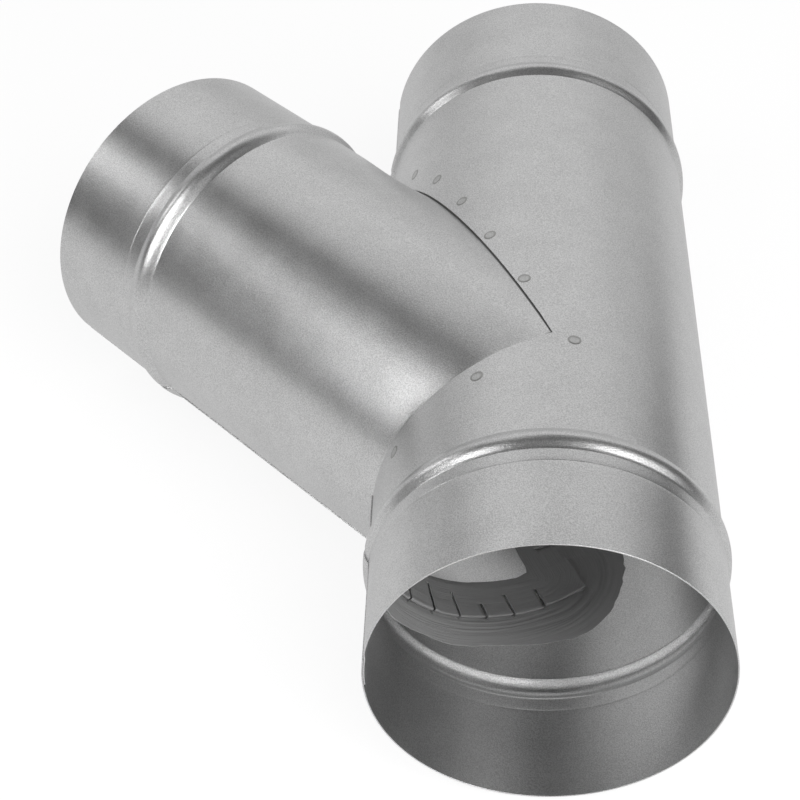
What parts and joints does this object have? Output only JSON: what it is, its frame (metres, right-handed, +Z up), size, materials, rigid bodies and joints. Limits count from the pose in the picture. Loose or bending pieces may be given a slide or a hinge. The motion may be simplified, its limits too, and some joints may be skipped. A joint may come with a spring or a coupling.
{
  "type": "lateral wye fitting",
  "caption": "Galvanised sheet steel 45 degree lateral wye for round ventilation duct, with stop beads, lap seams and a tabbed, spot welded and sealed joint.",
  "frame": {"origin": "centre of the run's front mouth", "axes": "+Y along the run towards its rear mouth, +Z up, and the branch leaves towards -X and +Y at 45 degrees, level with the run"},
  "size_m": [0.2613, 0.336, 0.128],
  "materials": {
    "galvanised_run": "spangle-free zinc coat, satin, with a fine grain",
    "galvanised_branch": "spangle-free zinc coat, satin, with a fine grain",
    "duct_sealant": "grey, brushed on, matt with brush marks"
  },
  "bodies": {
    "root": {"run_tube": "galvanised_run", "branch_tube": "galvanised_branch", "joint_sealant": "duct_sealant"}
  },
  "joints": []
}
